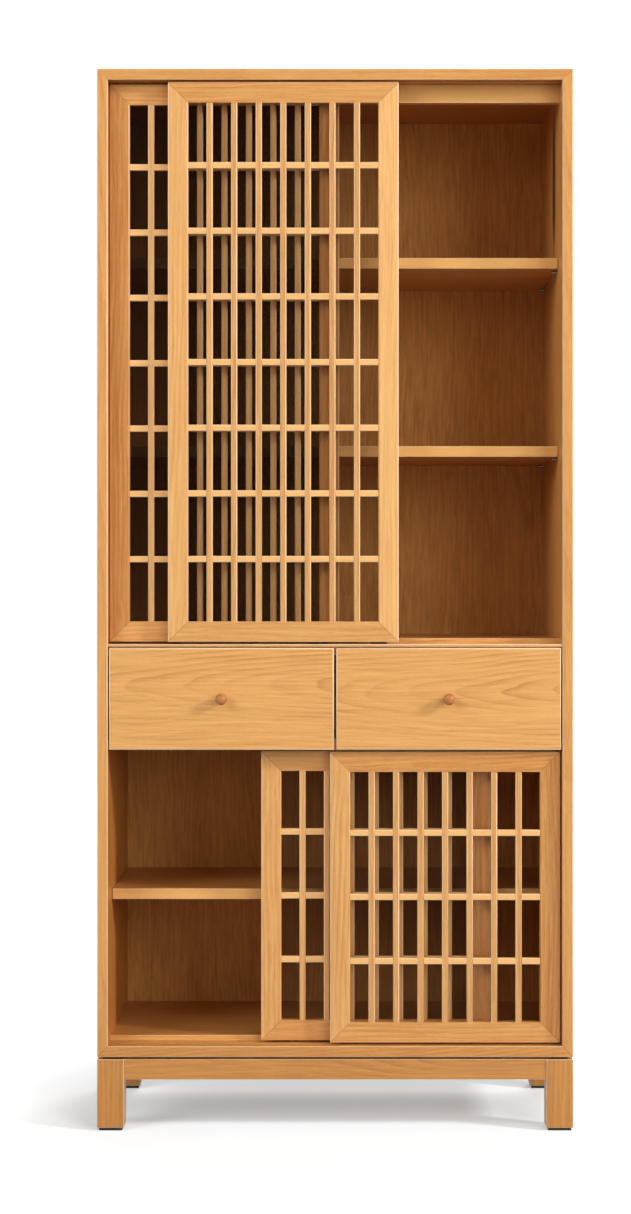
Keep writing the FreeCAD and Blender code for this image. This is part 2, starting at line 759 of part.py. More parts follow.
def door_pane(name, left, face, bottom, pane_height):
    """The pane behind the lattice, and the four beads that hold it in the frame's rebate."""
    pane = block(f"{name}_glass",
                 (f"{left} + frame_width - glass_rebate_width + glass_edge_gap",
                  f"{face} + glass_plane",
                  f"{bottom} + frame_width - glass_rebate_width + glass_edge_gap"),
                 ("pane_width + 2 * glass_rebate_width - 2 * glass_edge_gap", "glass_thickness",
                  f"{pane_height} + 2 * glass_rebate_width - 2 * glass_edge_gap"))
    sub_part(pane, f"{name}_glass")
    bead_front = f"{face} + glass_plane + glass_thickness"
    bead_depth = "door_thickness - glass_plane - glass_thickness"
    rebate_left = f"{left} + frame_width - glass_rebate_width"
    rebate_bottom = f"{bottom} + frame_width - glass_rebate_width"
    beads = [block("bead", (rebate_left, bead_front, height),
                   ("pane_width + 2 * glass_rebate_width", bead_depth, "glass_rebate_width"))
             for height in (rebate_bottom, f"{bottom} + frame_width + {pane_height}")]
    beads += [block("bead", (across, bead_front, f"{bottom} + frame_width"),
                    ("glass_rebate_width", bead_depth, pane_height))
              for across in (rebate_left, f"{left} + frame_width + pane_width")]
    sub_part(group(f"{name}_glass_beads", beads), f"{name}_glass_beads")


def doors():
    """Both pairs. The lower one runs further back, under the drawer fronts."""
    for level, track in (("upper", "upper_track"), ("lower", "lower_track")):
        for row, offset in (("front", "0"), ("rear", "rear_door_offset")):
            name = f"{level}_{row}_door"
            left = f"inner_left + door_stop_gap + {name}_share * door_travel"
            door(name, left, f"{level}_door_setback + {offset}", track, f"{level}_door_height",
                 f"{level}_crossbar_count")


# Drawers


def drawer_front():
    """The front's thin face laps over the divider edges, and its block fits between the box sides."""
    front = body_at("drawer_left_front", ("lip_left", "front_y + drawer_setback", "lower_head"))
    face = rectangle("0", "0", "lip_width", "lip_height")
    pad(front, sketch_on(front, "XZ_Plane", "0", [face]), "lip_thickness")
    block_outline = rectangle("box_inside_left - lip_left", "box_bottom - lower_head",
                              "box_inside_width", "box_height")
    pad(front, sketch_on(front, "XZ_Plane", "0", [block_outline]),
        "lip_thickness + front_block_thickness")
    groove = rectangle("box_inside_left - lip_left",
                       "box_bottom - lower_head + drawer_bottom_rise", "box_inside_width",
                       "drawer_bottom_thickness")
    back = "-lip_thickness - front_block_thickness"
    pocket(front, sketch_on(front, "XZ_Plane", back, [groove]), "drawer_bottom_bite",
           along_normal=True)
    hole = ("lip_width / 2", "lip_height / 2", "knob_tenon_radius + knob_tenon_play")
    pocket(front, sketch_on(front, "XZ_Plane", "0", circles=[hole]), "knob_tenon_length")
    return front


def drawer_side(name, corner, outer_at_left):
    """A box side, grooved outside for its runner and inside for the drawer bottom."""
    side = body_at(name, corner)
    section = rectangle("0", "0", "box_side_thickness", "box_height")
    pad(side, sketch_on(side, "XZ_Plane", "0", [section]), "box_length")
    runner_groove = rectangle("runner_front - box_front - runner_play",
                              "runner_rise - runner_play",
                              "box_length - runner_front + box_front + runner_play",
                              "runner_height + 2 * runner_play")
    outer = "0" if outer_at_left else "box_side_thickness"
    pocket(side, sketch_on(side, "YZ_Plane", outer, [runner_groove]), "runner_groove_depth",
           along_normal=outer_at_left)
    inner = "box_side_thickness - drawer_bottom_bite" if outer_at_left else "0"
    bottom_groove = rectangle(inner, "drawer_bottom_rise", "drawer_bottom_bite",
                              "drawer_bottom_thickness")
    pocket(side, sketch_on(side, "XZ_Plane", "0", [bottom_groove]), "box_length")
    return side


def knob():
    """A turned knob: a tenon in the drawer front, a waisted neck and a rounded head."""
    outward = FreeCAD.Vector(0, -1, 0)
    across = "lip_left + lip_width / 2"
    up = "lower_head + lip_height / 2"
    face = "front_y + drawer_setback"
    tenon = rod("knob_tenon", (across, f"{face} + knob_tenon_length", up), "knob_tenon_radius",
                "knob_tenon_length + knob_head_place", outward)
    neck = doc.addObject("Part::Cone", "knob_neck")
    neck.Placement.Rotation = FreeCAD.Rotation(FreeCAD.Vector(0, 0, 1), outward)
    bind(neck, "Radius1", "knob_foot_radius")
    bind(neck, "Radius2", "knob_neck_radius")
    bind(neck, "Height", "knob_head_place")
    place(neck, (across, face, up))
    head = doc.addObject("Part::Ellipsoid", "knob_head")
    head.Placement.Rotation = FreeCAD.Rotation(FreeCAD.Vector(0, 0, 1), outward)
    bind(head, "Radius1", "knob_head_half")
    bind(head, "Radius2", "knob_head_radius")
    bind(head, "Radius3", "knob_head_radius")
    place(head, (across, f"{face} - knob_head_place", up))
    return fuse("drawer_left_knob", [tenon, neck, head])


def drawer_box():
    """The sides, the back and the bottom of the left drawer's box."""
    front_y = "front_y + box_front"
    sides = group("drawer_left_box_sides", [
        drawer_side("drawer_outer_side", ("box_left", front_y, "box_bottom"), True),
        drawer_side("drawer_inner_side", ("box_right - box_side_thickness", front_y,
                                          "box_bottom"), False)])
    back = block("drawer_left_box_back",
                 ("box_inside_left", "front_y + box_back_front", "box_bottom + bottom_top"),
                 ("box_inside_width", "box_back_thickness", "box_height - bottom_top"))
    bottom = block("drawer_left_box_bottom",
                   ("box_inside_left - drawer_bottom_bite",
                    "front_y + block_back - drawer_bottom_bite",
                    "box_bottom + drawer_bottom_rise"),
                   ("box_inside_width + 2 * drawer_bottom_bite",
                    "box_back_front + box_back_thickness - block_back + drawer_bottom_bite",
                    "drawer_bottom_thickness"))
    return sides, back, bottom


def drawers():
    """The left drawer, and the right one as its mirror image."""
    for item in (drawer_front(), *drawer_box(), knob()):
        left_name = item.Name
        right_name = left_name.replace("left", "right")
        sub_part(item, left_name)
        sub_part(mirror(right_name, item), right_name)


def check(item):
    """Stop if an object of the document failed to build."""
    failed = [state for state in item.State if state in ("Invalid", "Error")]
    if failed:
        raise RuntimeError(f"{item.Label} is {failed[0]}")


def export():
    """Check every object and every finished piece, then write one file for each piece."""
    for item in doc.Objects:
        check(item)
    for item in sub_parts:
        shape = item.Shape
        if shape.isNull() or not shape.isValid() or not shape.Solids:
            raise RuntimeError(f"{item.Label} has no valid solid")
    os.makedirs("parts", exist_ok=True)
    for item in sub_parts:
        item.Shape.exportStep(f"parts/{item.Label}.step")
        print(item.Label, len(item.Shape.Solids), "solids", round(item.Shape.Volume), "mm3")
    print(len(sub_parts), "sub-parts")


screw_holes = leg_frame()
top_panel()
bottom_panel(screw_holes)
side_panels()
dividers()
back_panels()
boards_behind_doors()
shelves()
shelf_pins()
drawer_runners()
doors()
drawers()
doc.recompute()
export()
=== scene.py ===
"""Looks of the mizuya kitchen cabinet: eased boards with their own grain, panes and a studio."""
import json
import math
import random

import bmesh
import bpy
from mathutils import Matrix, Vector


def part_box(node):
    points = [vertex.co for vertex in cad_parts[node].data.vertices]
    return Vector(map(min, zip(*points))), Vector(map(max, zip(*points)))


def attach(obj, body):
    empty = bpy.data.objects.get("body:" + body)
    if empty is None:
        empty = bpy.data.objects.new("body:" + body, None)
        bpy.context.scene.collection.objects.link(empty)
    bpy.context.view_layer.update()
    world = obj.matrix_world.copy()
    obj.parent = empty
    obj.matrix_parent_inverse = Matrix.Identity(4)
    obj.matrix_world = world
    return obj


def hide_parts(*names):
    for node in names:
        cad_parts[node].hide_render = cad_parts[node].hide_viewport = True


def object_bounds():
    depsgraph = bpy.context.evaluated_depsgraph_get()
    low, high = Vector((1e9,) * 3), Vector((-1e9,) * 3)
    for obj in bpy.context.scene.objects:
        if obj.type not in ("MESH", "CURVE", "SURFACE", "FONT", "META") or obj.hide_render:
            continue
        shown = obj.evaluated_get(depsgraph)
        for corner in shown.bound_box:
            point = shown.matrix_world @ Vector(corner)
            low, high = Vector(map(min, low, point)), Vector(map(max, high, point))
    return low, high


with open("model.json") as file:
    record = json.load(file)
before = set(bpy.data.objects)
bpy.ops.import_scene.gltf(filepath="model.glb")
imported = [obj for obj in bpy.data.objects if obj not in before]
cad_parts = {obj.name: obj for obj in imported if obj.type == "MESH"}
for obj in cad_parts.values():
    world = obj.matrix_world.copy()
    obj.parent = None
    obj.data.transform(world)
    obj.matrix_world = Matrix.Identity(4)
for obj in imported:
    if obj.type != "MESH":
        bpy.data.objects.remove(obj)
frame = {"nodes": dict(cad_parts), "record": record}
cad_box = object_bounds()

MM = 0.001
AXES = "XYZ"
EVERY_SIDE = ("-X", "+X", "-Y", "+Y", "-Z", "+Z")
slots = {part["node"]: part["material_slot"] for part in frame["record"]["subparts"]}


# Materials


class NodeTree:
    """Short ways to add nodes to a tree."""

    def __init__(self, tree):
        self.tree = tree

    def node(self, kind, inputs, **settings):
        """Add a node. Each input is a plain value or another node's output."""
        made = self.tree.nodes.new(f"ShaderNode{kind}")
        for name, setting in settings.items():
            setattr(made, name, setting)
        for name, given in inputs.items():
            self.feed(made.inputs[name], given)
        return made

    def feed(self, socket, given):
        if isinstance(given, bpy.types.NodeSocket):
            self.tree.links.new(given, socket)
        else:
            socket.default_value = given

    def math(self, operation, *values):
        return self.node("Math", dict(enumerate(values)), operation=operation).outputs[0]

    def vector_math(self, operation, *values):
        return self.node("VectorMath", dict(enumerate(values)), operation=operation).outputs[0]

    def noise(self, place, waves, detail=2.0, roughness=0.5):
        """Noise with so many waves to a metre along each axis. Its mean is one half."""
        scaled = self.vector_math("MULTIPLY", place, waves)
        return self.node("TexNoise", {"Vector": scaled, "Scale": 1.0, "Detail": detail,
                                      "Roughness": roughness})

    def pushed(self, place, push, reach):
        """A place pushed aside by a noise's colour, at most by half the reach each way."""
        centred = self.vector_math("SUBTRACT", push, (0.5, 0.5, 0.5))
        return self.vector_math("MULTIPLY_ADD", centred, reach, place)

    def blend(self, share, first, second):
        """A colour between two, by a share from 0 to 1."""
        mix = self.node("Mix", {"Factor": share, 6: first, 7: second}, data_type="RGBA")
        return mix.outputs[2]

    def ramp(self, share, stops):
        """A curve through stops, each a place and its height."""
        ramp = self.node("ValToRGB", {"Fac": share})
        elements = ramp.color_ramp.elements
        while len(elements) < len(stops):
            elements.new(0.5)
        for element, (place, height) in zip(elements, stops):
            element.position = place
            element.color = (height, height, height, 1)
        return ramp.outputs["Color"]

    def spread(self, value, low, high):
        """A value from 0 to 1, spread between two others."""
        return self.math("MULTIPLY_ADD", value, high - low, low)


class Finish(NodeTree):
    """A material's node tree, round the shader that it comes with."""

    def __init__(self, name):
        self.material = bpy.data.materials.new(name)
        self.material.use_nodes = True
        super().__init__(self.material.node_tree)
        self.shader = self.tree.nodes["Principled BSDF"]

    def set(self, **inputs):
        """Set the shader's own sockets, by their names in lower case with underscores."""
        for name, given in inputs.items():
            self.feed(self.shader.inputs[name.replace("_", " ").title().replace("Ior", "IOR")],
                      given)

    def bump(self, height, distance, strength):
        bump = self.node("Bump", {"Height": height, "Distance": distance, "Strength": strength})
        self.feed(self.shader.inputs["Normal"], bump.outputs["Normal"])


# Growth rings: how far apart they are, how fast they climb through a board, and how the late wood
# darkens and breaks off across each year
RING_SPACING = 7.5 * MM
RING_CLIMB = 0.10
LATE_WOOD = ((0.0, 0.0), (0.35, 0.05), (0.80, 0.65), (0.92, 1.0), (1.0, 0.0))

# The noises in the wood, as waves to a metre along, across and into a board
SWAY = (2.2, 7.0, 7.0)
WOBBLE = (6.0, 28.0, 28.0)
FADING = (3.5, 20.0, 20.0)
STREAKS = (5.0, 210.0, 210.0)
FIBRES = (16.0, 900.0, 900.0)
PORES = (90.0, 1500.0, 1500.0)

# How far the sway and the wobble push the rings, where the rings fade, and where pores are open
SWAY_REACH = (0.0, 0.035, 0.035)
WOBBLE_REACH = (0.0, 0.008, 0.008)
RINGS_LEFT = ((0.36, 0.05), (0.64, 1.0))
OPEN_PORES = ((0.66, 0.0), (0.74, 1.0))

# The shade of plain wood, and what each part of the figure adds to it
PLAIN_SHADE = 0.18
RING_SHADE = 0.50
STREAK_SHADE = 0.55
FIBRE_SHADE = 0.22
PORE_SHADE = 0.18

# The surface, which is smoother on the streaks, with raised fibres and sunken pores
WOOD_ROUGHNESS = (0.44, 0.28)
WOOD_RELIEF = 0.25 * MM
WOOD_BUMP = 0.35
PORE_DEPTH = -0.8

# Painted highlight on the eased corners' middle strips, and the dark edges of the mitres,
# where the oil has settled
HIGHLIGHT_WOOD = (1.0, 0.79, 0.50, 1)
HIGHLIGHT_SHARE = 0.85
SEAM_WOOD = (0.10, 0.036, 0.010, 1)
SEAM_SHARE = 0.65


def wavy(waves, waviness):
    """A noise's waves, with more of them along the board where the wood is wavier."""
    return (waves[0] * waviness, *waves[1:])


def wood(name, pale, dark, figure=1.0, streaks=1.0, gloss=0.4, waviness=1.0, mark=None,
         own_grain=True):
    """Oiled hardwood. The pattern follows each board's own grain, kept in its attributes."""
    finish = Finish(name)
    if own_grain:
        grain = finish.node("Attribute", {}, attribute_name="grain").outputs["Vector"]
    else:
        grain = finish.node("TexCoord", {}).outputs["Object"]
    tone_and_shading, highlight, seam = [finish.node("Attribute", {}, attribute_name=layer).outputs["Fac"]
                          for layer in ("tone_and_shading", "highlight", "seam")]

    # Rings about the heart of the tree, which sways
    sway = finish.noise(grain, SWAY, detail=1.0).outputs["Color"]
    swayed = finish.pushed(grain, sway, SWAY_REACH)
    wobble = finish.noise(grain, wavy(WOBBLE, waviness)).outputs["Color"]
    swayed = finish.pushed(swayed, wobble, WOBBLE_REACH)
    along, across, deep = finish.node("SeparateXYZ", {"Vector": swayed}).outputs
    climbed = finish.math("MULTIPLY_ADD", along, RING_CLIMB, deep)
    from_heart = finish.math("SQRT", finish.math("MULTIPLY_ADD", across, across,
                                                 finish.math("MULTIPLY", climbed, climbed)))
    year = finish.math("FRACT", finish.math("DIVIDE", from_heart, RING_SPACING))
    late = finish.ramp(year, LATE_WOOD)
    fading = finish.noise(grain, FADING).outputs["Fac"]
    rings = finish.math("MULTIPLY", late, finish.ramp(fading, RINGS_LEFT))

    # Streaks, fine fibres and short open pores, which wave with the rings
    streak = finish.noise(swayed, wavy(STREAKS, waviness), detail=3.0,
                          roughness=0.6).outputs["Fac"]
    fibre = finish.noise(swayed, wavy(FIBRES, waviness)).outputs["Fac"]
    pore = finish.noise(swayed, PORES, detail=0.0).outputs["Fac"]
    pores = finish.ramp(pore, OPEN_PORES)

    shade = finish.math("MULTIPLY_ADD", rings, RING_SHADE * figure, PLAIN_SHADE)
    shade = finish.math("ADD", shade, finish.spread(streak, -STREAK_SHADE * streaks,
                                                    STREAK_SHADE * streaks))
    shade = finish.math("ADD", shade, finish.spread(fibre, -FIBRE_SHADE, FIBRE_SHADE))
    shade = finish.math("MULTIPLY_ADD", pores, PORE_SHADE, shade)
    # Each board's tone, which holds painted shade and painted light as well as its wood's own tone
    shade = finish.math("ADD", tone_and_shading, shade)
    shade = finish.node("Clamp", {"Value": shade}).outputs[0]
    colour = finish.blend(shade, (*pale, 1), (*dark, 1))
    # Painted highlight along the middle strips of the eased corners
    colour = finish.blend(finish.math("MULTIPLY", highlight, HIGHLIGHT_SHARE), colour, HIGHLIGHT_WOOD)
    colour = finish.blend(finish.math("MULTIPLY", seam, SEAM_SHARE), colour, SEAM_WOOD)
    if mark:
        colour = finish.blend(mark(finish), colour, MARK_COLOUR)
    finish.set(base_color=colour, roughness=finish.spread(streak, *WOOD_ROUGHNESS),
               specular_ior_level=gloss)
    height = finish.math("MULTIPLY_ADD", pores, PORE_DEPTH, fibre)
    finish.bump(height, WOOD_RELIEF, WOOD_BUMP)
    return finish.material


# A long dark streak on the right side's inner face: its middle and half sizes, how it fades from
# the middle outwards, and its colour
inner_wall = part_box("side_panel_right")[0].x
case_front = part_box("side_panel_right")[0].y
MARK_MIDDLE = Vector((inner_wall, case_front + 156 * MM, 1619 * MM))
MARK_HALF_SIZE = (6 * MM, 36 * MM, 155 * MM)
MARK_FADING = ((0.55, 0.92), (1.0, 0.0))
MARK_COLOUR = (0.05, 0.016, 0.005, 1)


def dark_streak(finish):
    """A long dark streak painted on the right side's inner face, below the head rail."""
    here = finish.node("TexCoord", {}).outputs["Object"]
    offset = finish.vector_math("SUBTRACT", here, MARK_MIDDLE)
    scaled = finish.vector_math("DIVIDE", offset, MARK_HALF_SIZE)
    distance = finish.node("VectorMath", {0: scaled}, operation="LENGTH").outputs["Value"]
    return finish.ramp(distance, MARK_FADING)


CASE_COLOURS = {"pale": (0.82, 0.41, 0.12), "dark": (0.50, 0.175, 0.030)}
DOOR_COLOURS = {"pale": (0.95, 0.53, 0.19), "dark": (0.56, 0.205, 0.035)}
WOODS = {
    "case_wood": dict(CASE_COLOURS, figure=0.8, streaks=0.8),
    "shelf_wood": dict(pale=(0.90, 0.47, 0.15), dark=(0.42, 0.15, 0.025), figure=0.8,
                       streaks=0.8, gloss=0.2),
    # The back's darker wood is partly painted shade, for the back deep inside the cabinet
    "back_wood": dict(pale=(0.86, 0.425, 0.115), dark=(0.38, 0.133, 0.024), figure=0.5,
                      streaks=1.2, gloss=0.1, waviness=2.4),
    "door_wood": dict(DOOR_COLOURS, figure=0.7, streaks=0.9),
    "lattice_wood": dict(DOOR_COLOURS, figure=0.5, streaks=0.9),
    "drawer_wood": dict(pale=(0.90, 0.47, 0.15), dark=(0.52, 0.19, 0.035), streaks=0.8),
    "hidden_wood": dict(pale=(0.74, 0.44, 0.19), dark=(0.50, 0.25, 0.09), figure=0.7,
                        streaks=0.8),
    "knob_wood": dict(pale=(0.56, 0.215, 0.042), dark=(0.33, 0.10, 0.014), figure=0.6,
                      streaks=0.7, gloss=0.45),
    "base_wood": dict(pale=(0.69, 0.31, 0.080), dark=(0.36, 0.118, 0.020), figure=0.9),
    "marked_wood": dict(CASE_COLOURS, figure=0.8, streaks=0.8, mark=dark_streak),
    "bead_wood": dict(pale=(0.88, 0.47, 0.15), dark=(0.54, 0.21, 0.045), figure=0.5,
                      streaks=0.9, own_grain=False),
}
finishes = {name: wood(name, **settings) for name, settings in WOODS.items()}

PANE_CLOUDS = (6.0, 6.0, 6.0)
PANE_COLOUR = (0.006, 0.002, 0.0005, 1)
PANE_GLOSS = 0.04
PANE_ROUGHNESS = (0.02, 0.10)
TINT_SWING = 0.03


def tinted_glass(name, tint):
    """Brown glass. The tint is the share of the light that each face of the pane holds back."""
    finish = Finish(name)
    here = finish.node("TexCoord", {}).outputs["Object"]
    cloud = finish.noise(here, PANE_CLOUDS).outputs["Fac"]
    finish.set(base_color=PANE_COLOUR, specular_ior_level=PANE_GLOSS,
               roughness=finish.spread(cloud, *PANE_ROUGHNESS),
               alpha=finish.spread(cloud, tint - TINT_SWING, tint + TINT_SWING))
    return finish.material


# The tints differ pane by pane as painted shade on the inside behind them, deepest on the rear
# panes
TINTS = {"tinted_glass": 0.16, "faintly_tinted_glass": 0.08, "more_tinted_glass": 0.24,
         "deeply_tinted_glass": 0.58}
for name, tint in TINTS.items():
    finishes[name] = tinted_glass(name, tint)

SPECKLES = (60.0, 60.0, 60.0)
GRIT = (2500.0, 2500.0, 2500.0)
GRIT_RELIEF = 0.1 * MM
GRIT_BUMP = 0.3
COLOUR_SWING = 0.25
ROUGHNESS_SWING = 0.08


def speckled(name, colour, roughness, metallic=0.0):
    """A small plain part: a fine speckle moves its colour, and a fine grit its surface."""
    finish = Finish(name)
    here = finish.node("TexCoord", {}).outputs["Object"]
    speckle = finish.noise(here, SPECKLES, detail=4.0).outputs["Fac"]
    grit = finish.noise(here, GRIT).outputs["Fac"]
    dim = [channel * (1 - COLOUR_SWING) for channel in colour]
    bright = [min(channel * (1 + COLOUR_SWING), 1.0) for channel in colour]
    finish.set(base_color=finish.blend(speckle, (*dim, 1), (*bright, 1)),
               roughness=finish.spread(speckle, roughness - ROUGHNESS_SWING,
                                       roughness + ROUGHNESS_SWING),
               metallic=metallic)
    finish.bump(grit, GRIT_RELIEF, GRIT_BUMP)
    return finish.material


SMALL_PARTS = {
    "glide_plastic": dict(colour=(0.18, 0.08, 0.03), roughness=0.6),
    "spacer_plastic": dict(colour=(0.06, 0.03, 0.014), roughness=0.7),
    "pin_steel": dict(colour=(0.20, 0.17, 0.13), roughness=0.5, metallic=1.0),
    "screw_steel": dict(colour=(0.50, 0.48, 0.45), roughness=0.35, metallic=1.0),
    "pad_rubber": dict(colour=(0.012, 0.012, 0.012), roughness=0.7),
}
for name, settings in SMALL_PARTS.items():
    finishes[name] = speckled(name, **settings)


# Boards

# How near to a plane a place lies on it, how near to each other vertices are merged, and how near
# to a cut they are left alone
TOUCHING = 0.01 * MM
MERGING = 0.002 * MM
CUTTING = 0.001 * MM

# Joins flatter than this are dissolved
FLAT = math.radians(0.5)

# Corners sharper and longer than this are eased
LEAST_CORNER = math.radians(20)
SHORTEST_ARRIS = 4 * MM

SEAM_WIDTH = 0.3 * MM
SEAM_DEPTH = 0.2 * MM


def separate_boards(mesh):
    """The vertices of each separate board of a bmesh."""
    mesh.verts.ensure_lookup_table()
    mesh.verts.index_update()
    seen = [False] * len(mesh.verts)
    boards = []
    for start in mesh.verts:
        if seen[start.index]:
            continue
        seen[start.index] = True
        board = [start]
        for vertex in board:
            for edge in vertex.link_edges:
                other = edge.other_vert(vertex)
                if not seen[other.index]:
                    seen[other.index] = True
                    board.append(other)
        boards.append(board)
    return boards


def corners_of(board):
    """The lowest and the highest corner of a board."""
    low = Vector(min(vertex.co[axis] for vertex in board) for axis in range(3))
    high = Vector(max(vertex.co[axis] for vertex in board) for axis in range(3))
    return low, high


def on_sides(places, low, high, sides):
    """Whether all the places lie on one and the same of the named sides of a box."""
    for side in sides:
        axis = AXES.index(side[1])
        level = (high if side[0] == "+" else low)[axis]
        if all(abs(place[axis] - level) < TOUCHING for place in places):
            return True
    return False


def runs_along(edge, axes):
    """Whether an edge runs along one of the named axes."""
    along = edge.verts[1].co - edge.verts[0].co
    return any(abs(along[AXES.index(axis)]) > 0.99 * along.length for axis in axes)


def arrises(board, sides, axes):
    """The outward corners of a board on the named sides of its box, along the named axes.

    Where no axis is named, they are the slanting corners, those of a mitre.
    """
    low, high = corners_of(board)
    edges = {edge for vertex in board for edge in vertex.link_edges}
    return [edge for edge in sorted(edges, key=lambda edge: edge.index)
            if edge.is_convex and edge.calc_face_angle() > LEAST_CORNER
            and edge.calc_length() > SHORTEST_ARRIS
            and on_sides([end.co for end in edge.verts], low, high, sides)
            and (runs_along(edge, axes) if axes else not runs_along(edge, AXES))]


# Painted shade on a board's faces inside the cabinet, as how much darker than its front they are,
# set apart for each side panel and shelf, and how far the boards of one kind differ in tone
INSIDE_SHADING = 0.46
LEFT_INSIDE_SHADING = 0.70
RIGHT_INSIDE_SHADING = -0.05
SHELF_INSIDE_SHADING = {"shelf_upper_high": 0.50, "shelf_upper_low": 0.72, "shelf_lower": 0.86}
TONE_SPREAD = 0.05

# Where the heart of the tree lies, to the side of a board's middle and under it: straight lines
# come from far to the side, arches from below. Boards vary by the share, and along the tree
STRAIGHT = (160 * MM, 60 * MM)
ARCHED = (14 * MM, 46 * MM)
DRAWER_HEART = (16 * MM, 52 * MM)
KNOB_HEART = (6 * MM, 22 * MM)
HEART_SHARE = (0.7, 1.3)
TREE_REACH = (-4, 4)


def lay_grain(mesh, name, along, heart, inside=(), tones_and_shading=(0,), inside_shading=INSIDE_SHADING):
    """Give each board its own piece of the tree, as coordinates along, across and into the board.

    The tones hold painted shade and light as well as each board's own tone. They go round the
    boards from the left to the right, or else from below.
    """
    grain = mesh.verts.layers.float_vector.new("grain")
    tone_and_shading = mesh.verts.layers.float.new("tone_and_shading")
    boards = sorted(separate_boards(mesh), key=lambda board: tuple(
        round(value, 3) for value in sum(corners_of(board), Vector()).xz))
    for number, board in enumerate(boards):
        chance = random.Random(f"{name} {number}")
        low, high = corners_of(board)
        middle = (low + high) / 2
        size = high - low
        length = AXES.index(along)
        across, deep = sorted((axis for axis in range(3) if axis != length),
                              key=lambda axis: -size[axis])
        direction = chance.choice((-1, 1))
        side = heart[0] * chance.uniform(*HEART_SHARE) * chance.choice((-1, 1))
        depth = heart[1] * chance.uniform(*HEART_SHARE)
        start = chance.uniform(*TREE_REACH)
        board_tone_and_shading = tones_and_shading[number % len(tones_and_shading)] + chance.uniform(-TONE_SPREAD, TONE_SPREAD)
        for vertex in board:
            place = vertex.co - middle
            vertex[grain] = (direction * place[length] + start, place[across] + side,
                             place[deep] + depth - RING_CLIMB * start)
            front = on_sides([vertex.co], low, high, ("-Y",))
            dark = not front and on_sides([vertex.co], low, high, inside)
            vertex[tone_and_shading] = board_tone_and_shading + inside_shading * dark


def mitre_of(edge):
    """A place on the front edge of a mitre, and the way that its joint faces."""
    joint = min(edge.link_faces, key=lambda face: abs(face.normal.y))
    return edge.verts[0].co.copy(), joint.normal.copy()


def cut_seam(mesh, place, outward):
    """Sink the front edge of a mitre a little, and mark the strip along it as its seam."""
    seam = mesh.loops.layers.float["seam"]
    front = place.y

    def beyond(vertex):
        """How far a vertex lies beyond the mitre's joint."""
        return (vertex.co - place).dot(outward)

    board = next(board for board in separate_boards(mesh)
                 if any(abs(beyond(vertex)) < TOUCHING for vertex in board))
    geometry = set(board)
    for vertex in board:
        geometry.update(vertex.link_edges, vertex.link_faces)
    bmesh.ops.bisect_plane(mesh, geom=list(geometry), dist=CUTTING,
                           plane_co=place - outward * SEAM_WIDTH, plane_no=outward)
    for face in mesh.faces:
        faces_front = face.normal.y < -0.3
        if faces_front and all(-1.1 * SEAM_WIDTH < beyond(vertex) < TOUCHING
                               for vertex in face.verts):
            for corner in face.loops:
                corner[seam] = 1
    for vertex in mesh.verts:
        if abs(beyond(vertex)) < TOUCHING and vertex.co.y < front + TOUCHING:
            vertex.co.y += SEAM_DEPTH


def eased(node, arris, sides, axes=AXES, segments=3):
    """A board's mesh from the model, with its corners eased and a fine seam along its mitres."""
    mesh = bmesh.new()
    mesh.from_mesh(frame["nodes"][node].data)
    highlight = mesh.loops.layers.float.new("highlight")
    mesh.loops.layers.float.new("seam")
    bmesh.ops.remove_doubles(mesh, verts=mesh.verts, dist=MERGING)
    bmesh.ops.dissolve_limit(mesh, angle_limit=FLAT, verts=mesh.verts, edges=mesh.edges)
    mesh.edges.index_update()
    boards = separate_boards(mesh)
    mitres = [mitre_of(edge) for board in boards for edge in arrises(board, ("-Y",), "")]
    edges = [edge for board in boards for edge in arrises(board, sides, axes)]
    rounded = bmesh.ops.bevel(mesh, geom=edges, offset=arris, segments=segments, profile=0.5,
                              affect="EDGES", clamp_overlap=True, material=-1)
    mesh.normal_update()
    # The middle strip of an eased corner faces halfway between two sides, and gets a painted
    # highlight
    middle = {vertex for face in rounded["faces"] if sorted(map(abs, face.normal))[1] > 0.6
              for vertex in face.verts}
    for face in rounded["faces"]:
        face.smooth = True
        for corner in face.loops:
            corner[highlight] = corner.vert in middle
    for place, outward in mitres:
        cut_seam(mesh, place, outward)
    return mesh


def body_of(node):
    return next(body for body, nodes in frame["record"]["behaviour"]["bodies"].items()
                if node in nodes)


def new_object(mesh, name):
    """Turn a bmesh into an object of the scene."""
    data = bpy.data.meshes.new(name)
    mesh.to_mesh(data)
    mesh.free()
    made = bpy.data.objects.new(name, data)
    bpy.context.scene.collection.objects.link(made)
    return made


def finished_piece(mesh, name, node, finish=None):
    """Make a piece from a bmesh. It stands for its node and moves with it."""
    piece = new_object(mesh, name)
    piece.data.materials.append(finishes[finish or slots[node]])
    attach(piece, body_of(node))
    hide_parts(node)


def board(node, along, arris=0.6 * MM, sides=("-Y", "+Y"), heart=STRAIGHT, finish=None,
          inside=(), tones_and_shading=(0,), axes=AXES, inside_shading=INSIDE_SHADING):
    """Ease the corners of a node's boards on the named sides, and lay their grain along an axis.

    The inside is the sides inside the cabinet, which are darker with painted shade.
    """
    mesh = eased(node, arris, sides, axes)
    lay_grain(mesh, node, along, heart, inside, tones_and_shading, inside_shading)
    finished_piece(mesh, f"{node}_eased", node, finish)


